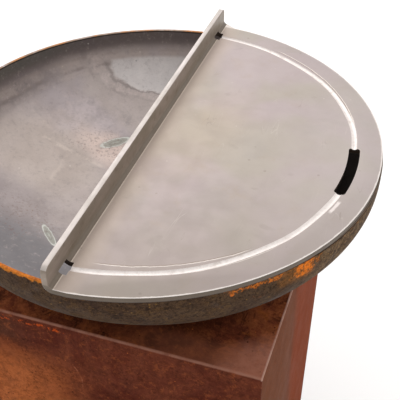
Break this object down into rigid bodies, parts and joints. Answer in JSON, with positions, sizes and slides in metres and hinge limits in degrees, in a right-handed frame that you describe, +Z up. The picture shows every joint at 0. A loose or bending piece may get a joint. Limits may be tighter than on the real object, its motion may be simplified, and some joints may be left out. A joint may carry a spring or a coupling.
{
  "type": "fire bowl",
  "caption": "Dished round steel fire bowl on a square weathering-steel pedestal, half covered by a loose griddle plate with a folded upstand and a grease groove.",
  "frame": {"origin": "on the ground, on the common axis of the bowl and the pedestal", "axes": "+Z up, +X from the open half of the bowl to the half that the griddle covers, +Y along the griddle's upstand"},
  "size_m": [0.7, 0.728, 0.943],
  "materials": {
    "weathering_steel": "matt rust patina",
    "mill_scale_steel": "hot-rolled mill scale with rust spots",
    "weld_metal": "as welded",
    "bare_steel": "satin bare steel"
  },
  "bodies": {
    "pedestal": {"pedestal_shell": "weathering_steel", "right_panel": "weathering_steel", "left_panel": "weathering_steel", "seam_welds": "weld_metal", "rib_cross": "weathering_steel", "rib_front": "weathering_steel", "rib_back": "weathering_steel", "base_rail_front": "weathering_steel", "base_rail_right": "weathering_steel", "base_rail_back": "weathering_steel", "base_rail_left": "weathering_steel"},
    "bowl": {"fire_bowl": "mill_scale_steel", "foot_front_right": "mill_scale_steel", "foot_back_right": "mill_scale_steel", "foot_back_left": "mill_scale_steel", "foot_front_left": "mill_scale_steel", "foot_welds": "weld_metal"},
    "griddle": {"griddle_plate": "bare_steel"}
  },
  "joints": [
    {"name": "bowl_lift", "type": "slide", "parent": "pedestal", "child": "bowl", "axis": [0, 0, 1], "range_m": [0, 0.25]},
    {"name": "griddle_lift", "type": "slide", "parent": "bowl", "child": "griddle", "axis": [0, 0, 1], "range_m": [0, 0.25]}
  ]
}
